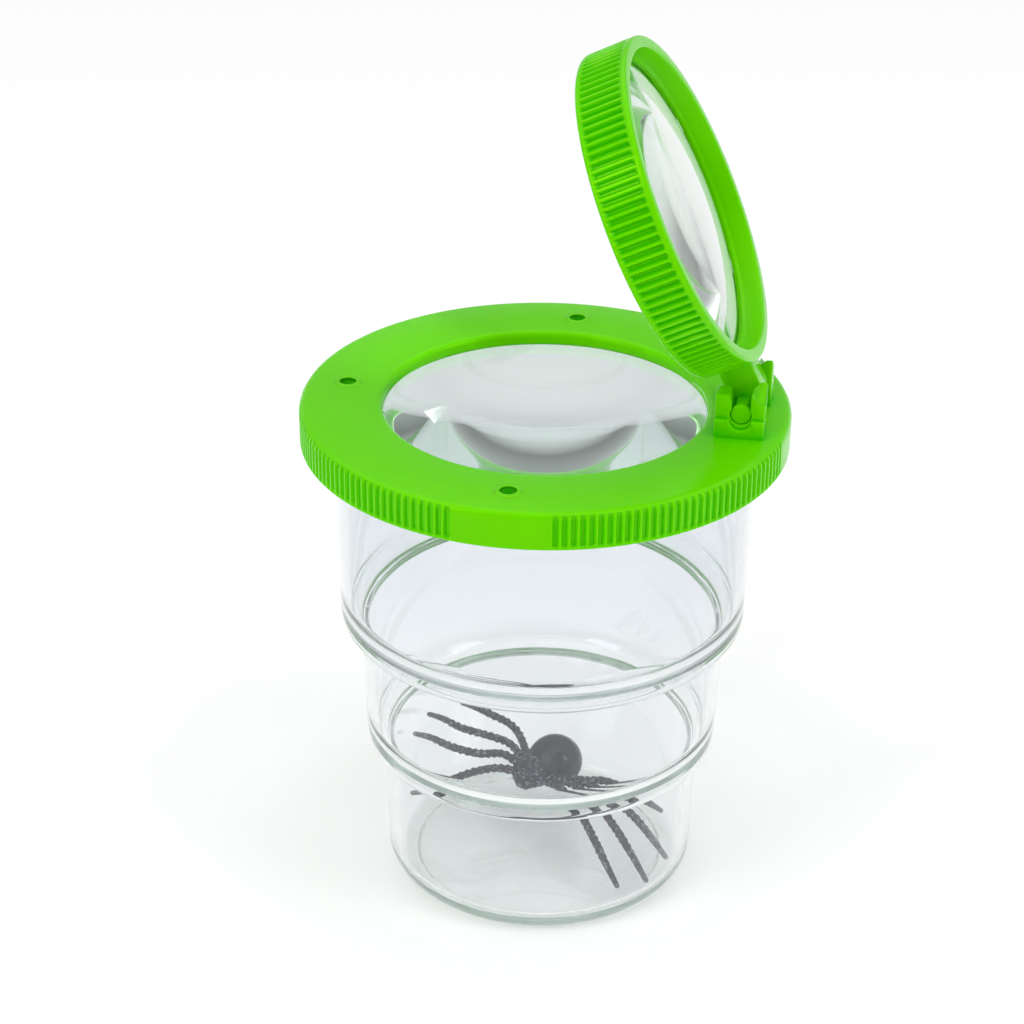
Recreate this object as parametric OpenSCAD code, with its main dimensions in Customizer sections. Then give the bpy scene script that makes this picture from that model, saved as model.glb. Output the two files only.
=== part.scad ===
// Bug catcher jar: a clear stepped cup, a push-on green lid with a magnifying
// lens and air holes, a second lens in a knurled ring that flips up on a
// snap-in hinge, and a toy spider lying inside.
// Origin: centre of the base. +Z is up, the hinge is on the +X side.

/* [Jar] */
// Height of the foot tier up to the first step
foot_tier_h = 21.6; // [18:0.1:25]
// Height of the middle tier
middle_tier_h = 20.7; // [17:0.1:24]
// Height of the mouth tier up to the rim step
mouth_tier_h = 28.9; // [25:0.1:33]
// Height of the rim tier that the lid pushes over
rim_tier_h = 4.15; // [3.9:0.05:4.6]
// How far the middle tier stands out past the foot tier
middle_step = 2.4; // [2:0.1:3]
// How far the mouth tier stands out past the middle tier
mouth_step = 2.6; // [2:0.1:3]
// How far the rim tier stands out past the mouth tier
rim_step = 2.6; // [2:0.1:3]
// Growth in radius up the foot tier, for mould release
foot_flare = 0.5; // [0.2:0.1:0.8]
// Growth in radius up the middle tier, for mould release
middle_flare = 1.0; // [0.5:0.1:1.2]
// Growth in radius up the mouth tier, for mould release
mouth_flare = 0.6; // [0.2:0.1:0.9]
// Wall thickness of the jar
jar_wall = 1.6; // [1.2:0.1:1.9]
// Thickness of the jar's floor
floor_t = 2.0; // [1.6:0.1:2.6]
// Outer rounding between wall and base
base_round = 2.4; // [1.8:0.1:3]
// Inner rounding between wall and floor
floor_round = 1.4; // [0.8:0.1:2]
// Width of the flat ring that the jar stands on
stand_w = 1.9; // [1.2:0.1:4]
// Depth of the shallow recess in the base
base_recess_d = 0.4; // [0.2:0.1:0.8]

/* [Lid] */
// Outer radius of the lid over its lower lip
lid_r = 35; // [33:0.1:38]
// Thickness of the lid's skirt at its lower lip
skirt_t = 1.92; // [1.7:0.02:2.4]
// Thickness of the lid's top plate
lid_top_t = 1.9; // [1.6:0.1:2.4]
// Full height of the lid's skirt, top plate included
skirt_h = 5.4; // [5:0.1:6.5]
// Width of the band with the air holes, between lens collar and jar rim
vent_band_w = 5.08; // [4.6:0.02:7]
// Rounding of the viewing opening's upper edge
opening_round = 0.5; // [0.3:0.1:0.8]
// Rounding of the lid's upper outer edge
lid_round = 0.9; // [0.5:0.1:1.2]
// Depth of the grip grooves
lid_groove_d = 0.45; // [0.3:0.05:0.6]
// Angle between grip grooves
lid_groove_pitch = 2.0; // [2:0.1:2.4]
// Grip grooves in each of the four groups
lid_group_grooves = 34; // [20:1:36]
// Height of the plain band under the grip grooves
lid_lip_h = 0.4; // [0.3:0.1:0.8]
// Radial clearance between the skirt and the jar's rim
lid_clear = 0.08; // [0.05:0.01:0.1]
// Wall of the collar that holds the lens
collar_wall = 1.3; // [1:0.1:1.6]
// Depth of the lens collar below the top plate
collar_h = 3.4; // [3:0.1:4]
// Radius of the air holes
vent_r = 1.18; // [0.9:0.02:1.3]
// Outer radius of the raised rim round each air hole
vent_rim_r = 2.05; // [1.7:0.05:2.4]
// Height of the raised rim round each air hole
vent_rim_h = 0.3; // [0.2:0.05:0.5]

/* [Lid lens] */
// Width of the lens edge that lies under the top plate
lens_seat_w = 1.85; // [1.5:0.05:2.2]
// Thickness of the lens edge
lid_lens_edge_t = 2.0; // [1.6:0.1:2.2]
// Rise of the upper lens face above its edge
lid_lens_top_sag = 1.6; // [0.8:0.1:1.7]
// Depth of the lower lens face below its edge
lid_lens_low_sag = 4.6; // [3:0.1:6]
// Flat margin between the lower lens face and the lens rim
lid_lens_margin = 1.0; // [0.7:0.1:1.4]

/* [Flip ring] */
// Distance from the hinge axis to the ring's outer edge
lug_reach = 6.0; // [5.4:0.1:7]
// Height of the flip ring
ring_h = 7.35; // [6.8:0.05:8]
// Distance of the closed ring's underside below the hinge axis
ring_drop = 1.6; // [1.4:0.1:1.9]
// How far the closed ring's centre lies past the lid's centre
ring_past = 0.9; // [0.5:0.1:1.1]
// Wall of the flip ring at its upper edge
ring_wall = 1.75; // [1.6:0.05:2]
// Narrowing of the ring's inner wall from edge to lens
ring_draft = 0.25; // [0.1:0.05:0.3]
// Depth of the grip grooves
ring_groove_d = 0.5; // [0.35:0.05:0.6]
// Angle between grip grooves
ring_groove_pitch = 3.15; // [3:0.05:3.6]
// Number of grip grooves
ring_groove_count = 92; // [70:1:94]
// Plain lip above the grooves
ring_lip_top = 0.7; // [0.4:0.1:1]
// Plain lip below the grooves
ring_lip_low = 0.5; // [0.4:0.1:1]
// Rounding of the ring's outer edges
ring_round = 0.35; // [0.2:0.05:0.4]
// Width of the inner shelf that the lens rests on
shelf_w = 1.0; // [0.8:0.1:1.4]
// Thickness of the inner shelf that the lens rests on
shelf_t = 1.6; // [1.3:0.1:1.8]

/* [Flip lens] */
// Thickness of the lens edge
flip_lens_edge_t = 2.2; // [1.8:0.1:2.4]
// Rise of the outer lens face above its edge
flip_lens_top_sag = 3.0; // [2:0.1:3.1]
// Rise of the lid-side lens face below its edge
flip_lens_low_sag = 1.8; // [1:0.1:2]
// Flat margin of the outer lens face
flip_lens_margin = 0.4; // [0.3:0.1:0.8]

/* [Hinge] */
// Distance of the hinge axis in from the lid's edge
hinge_inset = 6.6; // [6.4:0.1:7]
// Height of the hinge axis above the lid
hinge_up = 3.1; // [3:0.05:3.5]
// Angle that the flip ring stands open
open_angle = 64; // [0:1:150]
// Radius of the pin heads
pin_r = 1.45; // [1.3:0.05:1.5]
// Length of each pin head
pin_head_w = 0.95; // [0.8:0.05:1.4]
// Thickness of the flat neck between lug and pin head
neck_t = 1.65; // [1.3:0.05:2]
// Angle of the flat neck from the closed ring's height
neck_lean = 64; // [45:1:80]
// Radial clearance of the pin heads in the clips
pin_clear = 0.05; // [0.02:0.01:0.1]
// How far each snap lip reaches over the pin head
snap_bite = 0.2; // [0.1:0.05:0.25]
// Half width of the ring's lug
lug_half_w = 2.5; // [2.2:0.1:2.9]
// Radius of the lug round the hinge axis
lug_r = 2.5; // [2:0.1:2.8]
// Height of the lug above the hinge axis with the ring closed
lug_up = 3.3; // [2.8:0.1:3.3]
// Start of the lug's raised part, out from the hinge axis
lug_set = 1.2; // [1:0.1:1.6]
// Side clearance between lug and clips
lug_clear = 1.1; // [0.5:0.1:1.3]
// Length of each clip's cheeks
cheek_w = 2.8; // [2.6:0.1:3.4]
// Thickness of each clip's end wall
end_wall_t = 1.1; // [0.8:0.1:1.4]
// Height of the end wall below the hinge axis
end_wall_drop = 0.5; // [0.3:0.05:0.7]
// How far the end wall's notch lies below the hinge axis
notch_drop = 0.5; // [0.3:0.05:0.8]
// Thickness of the inner cheek
inner_cheek_t = 2.1; // [1.8:0.1:2.3]
// Thickness of the outer cheek
outer_cheek_t = 1.85; // [1.5:0.05:2]
// Height of the inner cheek above the hinge axis
inner_cheek_up = 2.65; // [2.2:0.05:3]
// Height of the outer cheek above the hinge axis
outer_cheek_up = 4.0; // [3.6:0.1:4.4]
// Fall of the outer cheek's top towards the clip's end
cheek_fall = 1.2; // [0.6:0.1:1.4]

/* [Spider] */
// Radius of the spider's round abdomen
abdomen_r = 3.85; // [3.4:0.05:4.2]
// Radius of the spider's head and chest
chest_r = 2.6; // [2.2:0.1:3]
// Radius of each leg where it joins the chest
leg_root_r = 0.85; // [0.6:0.05:1]
// Radius of each leg along its middle
leg_r = 0.68; // [0.5:0.02:0.8]
// Radius of each leg near its tip
foot_tip_r = 0.42; // [0.3:0.02:0.5]
// Gap between the spider's feet and the jar
spider_clear = 0.3; // [0.2:0.05:0.4]

/* [Hidden] */
$fn = 128;
arc_steps = 8;
cut = 1;

// Jar heights, and tier radii from the rim inwards
step1_z = foot_tier_h;
step2_z = step1_z + middle_tier_h;
step3_z = step2_z + mouth_tier_h;
jar_h = step3_z + rim_tier_h;
rim_r = lid_r - skirt_t - lid_clear;
mouth_top_r = rim_r - rim_step;
mouth_r = mouth_top_r - mouth_flare;
middle_top_r = mouth_r - mouth_step;
middle_r = middle_top_r - middle_flare;
foot_top_r = middle_r - middle_step;
foot_r = foot_top_r - foot_flare;
base_recess_r = foot_r - base_round - stand_w;

// Lid heights and radii
lid_z = jar_h;
lid_top_z = lid_z + lid_top_t;
skirt_in_r = rim_r + lid_clear;
rim_in_r = rim_r - jar_wall;
lens_fit = 0.02;
collar_out_r = rim_in_r - vent_band_w;
collar_in_r = collar_out_r - collar_wall;
lens_r = collar_in_r - lens_fit;
opening_r = lens_r - lens_seat_w;
bead_reach = 0.3;
bead_h = 0.6;
rib_set = 0.06;
lid_rib_r = lid_r - rib_set;
vent_at_r = (collar_out_r + rim_in_r) / 2;

// Hinge and flip ring
hinge_x = lid_r - hinge_inset;
hinge_z = lid_top_z + hinge_up;
arm = hinge_x + ring_past;
ring_r = arm - lug_reach;
bore_r = pin_r + pin_clear;
clip_in_y = lug_half_w + lug_clear;
clip_end_y = clip_in_y + cheek_w;
head_gap = 0.15;
head_end_y = clip_end_y - head_gap;
head_start_y = head_end_y - pin_head_w;
ring_in_top_r = ring_r - ring_wall;
ring_seat_r = ring_in_top_r - ring_draft;
flip_lens_r = ring_seat_r - lens_fit;
ring_bead_h = 0.5;
ring_bead_reach = 0.2;
shelf_in_r = ring_seat_r - shelf_w;
lens_on_shelf = shelf_t - ring_drop;
lens_top_at = lens_on_shelf + flip_lens_edge_t;
ring_root = 0.6;
ring_rib_r = ring_r - rib_set;

// Spider places, as shares of the room inside the foot tier
room_r = foot_r - jar_wall - spider_clear;
room_h = foot_tier_h - floor_t;
abdomen_share = [0.063, 0.36, 0.49];
chest_share = [-0.065, 0.215, 0.455];
head_share = [-0.13, 0.165, 0.445];
leg_sides = 10;
leg_smooth = 5;
// Each leg starts in the chest and ends at its foot: x and y as shares of
// the room's radius, z as a share of its height above the floor
leg_shares = [
  [[-0.12, 0.3, 0.47], [-0.236, 0.54, 0.555], [-0.334, 0.615, 0.62], [-0.455, 0.606, 0.69],
    [-0.58, 0.622, 0.735], [-0.72, 0.65, 0.755]],
  [[-0.13, 0.27, 0.47], [-0.276, 0.405, 0.565], [-0.424, 0.395, 0.635], [-0.642, 0.362, 0.675],
    [-0.79, 0.38, 0.71], [-0.9, 0.385, 0.715]],
  [[-0.14, 0.24, 0.46], [-0.3, 0.24, 0.59], [-0.466, 0.13, 0.653], [-0.66, 0.085, 0.69],
    [-0.83, 0.135, 0.7], [-0.955, 0.16, 0.685]],
  [[-0.14, 0.21, 0.45], [-0.323, 0.165, 0.51], [-0.473, 0.075, 0.525], [-0.614, 0.035, 0.47],
    [-0.789, -0.01, 0.36], [-0.968, -0.012, 0.285]],
  [[-0.05, 0.19, 0.44], [0.14, 0.06, 0.46], [0.294, -0.09, 0.38], [0.44, -0.29, 0.265],
    [0.545, -0.435, 0.155], [0.65, -0.565, 0.038]],
  [[-0.03, 0.2, 0.45], [0.23, 0.07, 0.5], [0.416, -0.07, 0.45], [0.585, -0.208, 0.316],
    [0.732, -0.36, 0.165], [0.832, -0.475, 0.045]],
  [[-0.02, 0.23, 0.455], [0.28, 0.1, 0.52], [0.516, -0.01, 0.47], [0.714, -0.11, 0.357],
    [0.855, -0.185, 0.205], [0.943, -0.2, 0.065]],
  [[-0.01, 0.26, 0.46], [0.275, 0.12, 0.515], [0.44, 0.11, 0.535], [0.584, 0.14, 0.47],
    [0.738, 0.262, 0.27], [0.87, 0.405, 0.065]]
];

// Points of an arc with its centre at [x, y]
function arc(x, y, r, a0, a1) =
  [for (i = [0:arc_steps]) let (a = a0 + (a1 - a0) * i / arc_steps) [x + r * cos(a), y + r * sin(a)]];

// Outer line of one step: the quarter round that carries a tier's wall
function step_out(r_in, z, r_out) = arc(r_in, z + (r_out - r_in), r_out - r_in, -90, 0);

// Inner line of one step, one wall thickness inside the outer line
function step_in(r_in, z, r_out) = concat(
  arc(r_in, z, jar_wall, 180, 90),
  arc(r_in, z + (r_out - r_in), r_out - r_in - jar_wall, -90, 0)
);

function jar_outer() = concat(
  [[0, base_recess_d], [base_recess_r - base_recess_d, base_recess_d], [base_recess_r, 0]],
  arc(foot_r - base_round, base_round, base_round, -90, 0),
  step_out(foot_top_r, step1_z, middle_r),
  step_out(middle_top_r, step2_z, mouth_r),
  step_out(mouth_top_r, step3_z, rim_r),
  [[rim_r, jar_h]]
);

function jar_inner() = concat(
  [[0, floor_t]],
  arc(foot_r - jar_wall - floor_round, floor_t + floor_round, floor_round, -90, 0),
  step_in(foot_top_r, step1_z, middle_r),
  step_in(middle_top_r, step2_z, mouth_r),
  step_in(mouth_top_r, step3_z, rim_r),
  [[rim_in_r, jar_h]]
);

function reversed(v) = [for (i = [len(v) - 1:-1:0]) v[i]];

// Outline of one grip groove, seen along the ring's axis. Its sides run on a
// fifth deeper than the groove, so that the ring's own wall is its floor.
function groove(a, pitch, r_crest, depth) = [
  for (s = [[-1 / 4, 0], [-1 / 10, 6 / 5], [1 / 10, 6 / 5], [1 / 4, 0]])
    let (r = r_crest - s[1] * depth, b = a + s[0] * pitch) [r * cos(b), r * sin(b)]
];

// Outline of the lid's edge: four groups of grooves with plain pads between
function lid_outline() = [
  for (g = [0:3])
    let (
      quarter = 360 / 4,
      group = lid_group_grooves * lid_groove_pitch,
      start = quarter * g + (quarter - group) / 2
    )
    each concat(
      [for (i = [0:lid_group_grooves - 1])
        each groove(start + (i + 1 / 2) * lid_groove_pitch, lid_groove_pitch, lid_rib_r,
          lid_groove_d - rib_set)],
      arc(0, 0, lid_rib_r, start + group, start + quarter)
    )
];

// Outline of the flip ring's edge: one group of grooves, plain at the lug
function ring_outline() =
  let (
    group = ring_groove_count * ring_groove_pitch,
    plain = 360 - group,
    start = plain / 2
  )
  concat(
    [for (i = [0:ring_groove_count - 1])
      each groove(start + (i + 1 / 2) * ring_groove_pitch, ring_groove_pitch, ring_rib_r,
        ring_groove_d - rib_set)],
    arc(0, 0, ring_rib_r, start + group, start + group + plain / 2),
    arc(0, 0, ring_rib_r, 0, start)
  );

// Part of a ball that stands on a flat disc of radius r and rises by sag
module cap(r, sag) {
  ball_r = (r * r + sag * sag) / (2 * sag);
  intersection() {
    translate([0, 0, sag - ball_r]) sphere(ball_r);
    cylinder(r = r, h = sag + cut);
  }
}

module jar() {
  color([0.86, 0.9, 0.9, 0.35])
    rotate_extrude()
      polygon(concat(jar_outer(), reversed(jar_inner())));
}

// Section of the lid's top plate and skirt, without the grip ribs
function lid_section() = concat(
  [[opening_r, lid_z]],
  arc(opening_r + opening_round, lid_top_z - opening_round, opening_round, 180, 90),
  arc(lid_r - lid_groove_d - lid_round, lid_top_z - lid_round, lid_round, 90, 0),
  [
    [lid_r - lid_groove_d, lid_top_z - skirt_h],
    [skirt_in_r, lid_top_z - skirt_h],
    [skirt_in_r, lid_z],
    [collar_out_r, lid_z],
    [collar_out_r, lid_z - collar_h],
    [collar_in_r, lid_z - collar_h],
    [collar_in_r - bead_reach, lid_z - lid_lens_edge_t - bead_h],
    [collar_in_r - bead_reach, lid_z - lid_lens_edge_t - lens_fit],
    [collar_in_r, lid_z - lid_lens_edge_t - lens_fit],
    [collar_in_r, lid_z]
  ]
);

module vent_rim() {
  rotate_extrude()
    polygon([
      [0, -cut],
      [vent_rim_r, -cut],
      [vent_rim_r, 0],
      [vent_rim_r - vent_rim_h, vent_rim_h],
      [0, vent_rim_h]
    ]);
}

// One snap clip, with its inner end at y = clip_in_y, around the hinge axis
module clip() {
  lip_r = bore_r - snap_bite;
  low = -hinge_up - lid_round;
  throat = sqrt(bore_r * bore_r - lip_r * lip_r);
  difference() {
    translate([0, clip_end_y, 0]) rotate([90, 0, 0]) linear_extrude(cheek_w)
      polygon([
        [-bore_r - inner_cheek_t, low],
        [bore_r + outer_cheek_t, low],
        [bore_r + outer_cheek_t, outer_cheek_up],
        [bore_r + outer_cheek_t / 2, outer_cheek_up],
        [lip_r, inner_cheek_up - snap_bite],
        [lip_r, throat],
        [-lip_r, throat],
        [-lip_r, inner_cheek_up / 2],
        [-bore_r - snap_bite, inner_cheek_up],
        [-bore_r - inner_cheek_t, inner_cheek_up]
      ]);
    translate([0, clip_end_y + cut, 0]) rotate([90, 0, 0]) cylinder(r = bore_r, h = cheek_w + 2 * cut);
    // Slope along the outer cheek's top
    translate([0, clip_in_y, outer_cheek_up]) rotate([90, 0, 90]) linear_extrude(lid_r)
      polygon([[0, 0], [cheek_w + cut, -cheek_fall * (cheek_w + cut) / cheek_w], [cheek_w + cut, cut], [0, cut]]);
  }
  difference() {
    translate([-bore_r - inner_cheek_t, clip_end_y, low])
      cube([2 * bore_r + inner_cheek_t + outer_cheek_t, end_wall_t, -end_wall_drop - low]);
    translate([0, clip_end_y + end_wall_t + cut, -notch_drop]) rotate([90, 0, 0])
      cylinder(r = bore_r, h = end_wall_t + 2 * cut);
  }
}

module lid_ring() {
  color([0.37, 0.86, 0.02])
    difference() {
      union() {
        rotate_extrude() polygon(lid_section());
        // Grip ribs, standing on a plain lip
        difference() {
          union() {
            translate([0, 0, lid_top_z - skirt_h + lid_lip_h])
              linear_extrude(skirt_h - lid_lip_h - lid_round / 2) polygon(lid_outline());
            translate([0, 0, lid_top_z - skirt_h]) cylinder(r = lid_r, h = lid_lip_h);
          }
          translate([0, 0, lid_top_z - skirt_h - cut])
            cylinder(r = lid_r - lid_round - lid_groove_d, h = skirt_h + 2 * cut);
        }
        for (a = [90, 180, 270]) rotate(a) translate([vent_at_r, 0, lid_top_z]) vent_rim();
        // Hinge clips, one each side of the ring's lug
        translate([hinge_x, 0, hinge_z]) {
          clip();
          mirror([0, 1, 0]) clip();
        }
      }
      for (a = [90, 180, 270]) rotate(a) translate([vent_at_r, 0, lid_z - cut])
        cylinder(r = vent_r, h = lid_top_t + vent_rim_h + 2 * cut);
    }
}

module lid_lens() {
  color([0.85, 0.92, 0.95, 0.4])
    union() {
      translate([0, 0, lid_z - lid_lens_edge_t]) cylinder(r = lens_r, h = lid_lens_edge_t);
      translate([0, 0, lid_z]) cap(opening_r - lens_fit * 2, lid_lens_top_sag);
      translate([0, 0, lid_z - lid_lens_edge_t]) mirror([0, 0, 1])
        cap(lens_r - lid_lens_margin, lid_lens_low_sag);
    }
}

// Places a piece drawn with the ring closed and the hinge axis at the origin
module flipped() {
  translate([hinge_x, 0, hinge_z]) rotate([0, open_angle, 0]) children();
}

// Section of the flip ring's body inside its ribs
function ring_section() = let (
    low = -ring_drop,
    high = ring_h - ring_drop,
    out = ring_r - ring_groove_d
  ) concat(
  [[shelf_in_r, low], [out, low], [out, high], [ring_in_top_r, high]],
  [
    [ring_seat_r, lens_top_at + 2 * ring_bead_h],
    [ring_seat_r - ring_bead_reach, lens_top_at + ring_bead_h],
    [ring_seat_r - ring_bead_reach, lens_top_at + lens_fit],
    [ring_seat_r, lens_top_at + lens_fit],
    [ring_seat_r, lens_on_shelf],
    [shelf_in_r, lens_on_shelf]
  ]
);

// A plain lip of the flip ring, rounded on the side where up is 1
module ring_lip(h, up) {
  in = ring_r - ring_groove_d - ring_root;
  rotate_extrude()
    polygon(up > 0
      ? concat([[in, 0], [ring_r, 0]], arc(ring_r - ring_round, h - ring_round, ring_round, 0, 90), [[in, h]])
      : concat([[in, 0]], arc(ring_r - ring_round, ring_round, ring_round, -90, 0), [[ring_r, h], [in, h]]));
}

module flip_ring() {
  color([0.37, 0.86, 0.02])
    flipped() {
      translate([-arm, 0, 0]) {
        rotate_extrude() polygon(ring_section());
        translate([0, 0, -ring_drop]) ring_lip(ring_lip_low, 0);
        translate([0, 0, ring_h - ring_drop - ring_lip_top]) ring_lip(ring_lip_top, 1);
        difference() {
          translate([0, 0, ring_lip_low - ring_drop])
            linear_extrude(ring_h - ring_lip_low - ring_lip_top) polygon(ring_outline());
          translate([0, 0, -ring_drop])
            cylinder(r = ring_r - ring_groove_d - ring_root, h = ring_h);
        }
      }
      // Lug between ring and hinge axis, with its rounded end
      translate([ring_r - arm - ring_root, -lug_half_w, -ring_drop])
        cube([arm - ring_r + ring_root - lug_set, 2 * lug_half_w, lug_up + ring_drop]);
      translate([-lug_set - lug_r, -lug_half_w, -ring_drop])
        cube([lug_set + lug_r, 2 * lug_half_w, ring_drop]);
      translate([0, lug_half_w, 0]) rotate([90, 0, 0]) cylinder(r = lug_r, h = 2 * lug_half_w);
      // Flat neck and round pin head on both sides of the lug
      intersection() {
        translate([0, head_end_y, 0]) rotate([90, 0, 0]) cylinder(r = pin_r, h = 2 * head_end_y);
        union() {
          rotate([0, -neck_lean, 0]) cube([neck_t, 2 * head_end_y + cut, 2 * pin_r + cut], center = true);
          for (side = [-1, 1]) translate([0, side * (head_end_y - pin_head_w / 2), 0])
            cube([2 * pin_r + cut, pin_head_w, 2 * pin_r + cut], center = true);
        }
      }
    }
}

module flip_lens() {
  color([0.85, 0.92, 0.95, 0.4])
    flipped() translate([-arm, 0, lens_on_shelf]) {
      cylinder(r = flip_lens_r, h = flip_lens_edge_t);
      translate([0, 0, flip_lens_edge_t]) cap(flip_lens_r - flip_lens_margin, flip_lens_top_sag);
      mirror([0, 0, 1]) cap(shelf_in_r - lens_fit * 2, flip_lens_low_sag);
    }
}

// A point given in shares of the room inside the foot tier
function at(share) = [share[0] * room_r, share[1] * room_r, floor_t + share[2] * room_h];

// Smooth curve through four points, at share t between the second and third
function curve(a, b, c, d, t) =
  (2 * b + (c - a) * t + (2 * a - 5 * b + 4 * c - d) * t * t + (3 * b - a - 3 * c + d) * t * t * t) / 2;

function route(p) = concat(
  [for (i = [0:len(p) - 2], j = [0:leg_smooth - 1])
    curve(p[max(i - 1, 0)], p[i], p[i + 1], p[min(i + 2, len(p) - 1)], j / leg_smooth)],
  [p[len(p) - 1]]
);

function unit(v) = v / norm(v);

// Radius of a leg at share u of its length
function leg_radius(u) =
  u < 1 / 4 ? leg_root_r + (leg_r - leg_root_r) * 4 * u
  : u < 3 / 4 ? leg_r
  : leg_r + (foot_tip_r - leg_r) * (4 * u - 3);

module leg(shares) {
  pts = route([for (s = shares) at(s)]);
  n = len(pts);
  rings = [
    for (i = [0:n - 1])
      let (
        t = unit(pts[min(i + 1, n - 1)] - pts[max(i - 1, 0)]),
        side = unit(cross(t, [0, 0, 1])),
        up = cross(side, t),
        r = leg_radius(i / (n - 1))
      )
      for (k = [0:leg_sides - 1])
        let (a = 360 * k / leg_sides) pts[i] + r * (cos(a) * side + sin(a) * up)
  ];
  sides = [
    for (i = [0:n - 2], k = [0:leg_sides - 1])
      let (
        a = i * leg_sides + k,
        b = i * leg_sides + (k + 1) % leg_sides
      )
      each [[a, b, b + leg_sides], [a, b + leg_sides, a + leg_sides]]
  ];
  first = [for (k = [1:leg_sides - 2]) [0, k + 1, k]];
  last = [for (k = [1:leg_sides - 2]) (n - 1) * leg_sides * [1, 1, 1] + [0, k, k + 1]];
  polyhedron(points = rings, faces = concat(sides, first, last));
}

module toy_spider() {
  color([0.08, 0.08, 0.09])
    union() {
      translate(at(abdomen_share)) sphere(abdomen_r);
      translate(at(chest_share)) sphere(chest_r);
      translate(at(head_share)) sphere(chest_r * 3 / 4);
      for (shares = leg_shares) leg(shares);
    }
}

jar();
lid_ring();
lid_lens();
flip_ring();
flip_lens();
toy_spider();
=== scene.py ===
# Bug catcher jar: clear stepped jar, green push-on lid with a magnifying lens,
# a second lens in a flip-up ring, and a black rubber toy spider inside.
# Sizes are in millimetres until a piece is finished, which turns it to metres.
import math

import bmesh
import bpy
from mathutils import Matrix, Vector


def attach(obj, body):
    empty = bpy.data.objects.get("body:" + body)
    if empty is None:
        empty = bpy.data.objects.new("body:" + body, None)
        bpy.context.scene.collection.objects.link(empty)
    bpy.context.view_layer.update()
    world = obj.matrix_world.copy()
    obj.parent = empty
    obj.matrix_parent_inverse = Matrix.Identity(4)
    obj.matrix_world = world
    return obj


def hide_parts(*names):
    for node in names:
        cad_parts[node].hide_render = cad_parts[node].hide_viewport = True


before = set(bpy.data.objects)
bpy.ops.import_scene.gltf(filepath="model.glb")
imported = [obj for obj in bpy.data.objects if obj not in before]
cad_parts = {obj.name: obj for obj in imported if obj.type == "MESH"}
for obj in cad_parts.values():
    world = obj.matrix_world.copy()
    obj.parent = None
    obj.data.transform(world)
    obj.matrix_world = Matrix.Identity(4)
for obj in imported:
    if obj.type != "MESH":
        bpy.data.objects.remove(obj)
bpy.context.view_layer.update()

MM = 0.001
# Equal sectors that a turned piece is made of, which divides every number of steps
SECTORS = 16
# Steps over one groove of the lid or the ring
GROOVE_STEPS = 8
# Points on the curve of a lens face
DOME_PARTS = 18
# Points of a turned shape this near each other become one
WELD_REACH = 1e-4
# Points this near the axis aren't moved by grooves
AXIS_REACH = 1e-6
# Edges that turn by more degrees than this are shaded sharp
SHARP_ANGLE = 32
LENS_SHARP_ANGLE = 12
RUBBER_SHARP_ANGLE = 80

# Jar
FOOT_R = 23.3
FOOT_FLARE = 0.5
FOOT_TIER_H = 21.6
MIDDLE_R = 26.2
MIDDLE_FLARE = 1.0
MIDDLE_TIER_H = 20.7
MOUTH_R = 29.8
MOUTH_FLARE = 0.6
MOUTH_TIER_H = 28.9
RIM_R = 33.0
RIM_TIER_H = 4.15
JAR_WALL = 1.6
FLOOR_T = 2.0
BASE_ROUND = 3.6
FLOOR_ROUND = 2.2
# The ledges' wide inner fillets meet the tier below at this slope
MOUTH_FILLET = 5.6
MIDDLE_FILLET = 5.3
LEDGE_SLOPE = 0.727
BASE_RECESS_R = 19.0
BASE_RECESS_D = 0.4
JAR_EDGE_ROUND = 0.3
# What is left flat of an outer ledge beside its rounding
LEDGE_FLAT = 0.35
RIM_FILLET = 0.9
RIM_LEDGE_ROUND = 1.2
JAR_STEPS = 192
STEP_1 = FOOT_TIER_H
STEP_2 = STEP_1 + MIDDLE_TIER_H
STEP_3 = STEP_2 + MOUTH_TIER_H
JAR_H = STEP_3 + RIM_TIER_H

# Lid
LID_R = 35.0
LID_TOP_T = 1.9
LID_Z = JAR_H
LID_TOP_Z = LID_Z + LID_TOP_T
SKIRT_H = 5.4
LID_FIT = 0.08
SKIRT_IN_R = RIM_R + LID_FIT
OPENING_R = 23.15
COLLAR_IN_R = 25.02
COLLAR_OUT_R = 26.32
COLLAR_H = 3.4
BEAD_REACH = 0.3
BEAD_H = 0.6
OPENING_ROUND = 0.95
OPENING_LOW_ROUND = 0.15
LID_EDGE_ROUND = 1.0
SKIRT_EDGE_ROUND = 0.22
LID_INNER_ROUND = 0.2
COLLAR_EDGE_ROUND = 0.15
BEAD_ROUND = 0.1
BEAD_BACK_ROUND = 0.05
# Grooves of the lid, whose pitch is in degrees: how deep the grooved band reaches in,
# how steep a groove's flanks are, and between which heights a groove runs out
LID_GROOVE_D = 0.45
LID_GROOVE_PITCH = 2.0
LID_GROUP_GROOVES = 34
LID_PLAIN_STEPS = 16
LID_GROOVE_BAND = 1.2
LID_FLANK_SHARES = (0.2, 0.8)
LID_GROOVE_FOOT = (0.25, 0.6)
LID_GROOVE_HEAD = (0.75, 0.3)
# Rows of points on the lid's side, under its top and over its foot, for those ends
LID_ROWS_DOWN = (1.15, 1.6)
LID_ROWS_UP = (0.9, 0.6, 0.42)
VENT_R = 1.18
# The raised rim falls from its flat top over VENT_RIM_FALL, and starts in the lid
VENT_RIM_R = 2.05
VENT_RIM_H = 0.16
VENT_RIM_FALL = 0.45
VENT_RIM_TOP_ROUND = 0.4
VENT_RIM_IN_ROUND = 0.1
VENT_RIM_SPREAD = 0.05
VENT_RIM_SINK = 0.3
VENT_STEPS = 48
VENT_AT_R = (COLLAR_OUT_R + RIM_R - JAR_WALL) / 2
VENT_ANGLES = (90, 180, 270)

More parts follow.
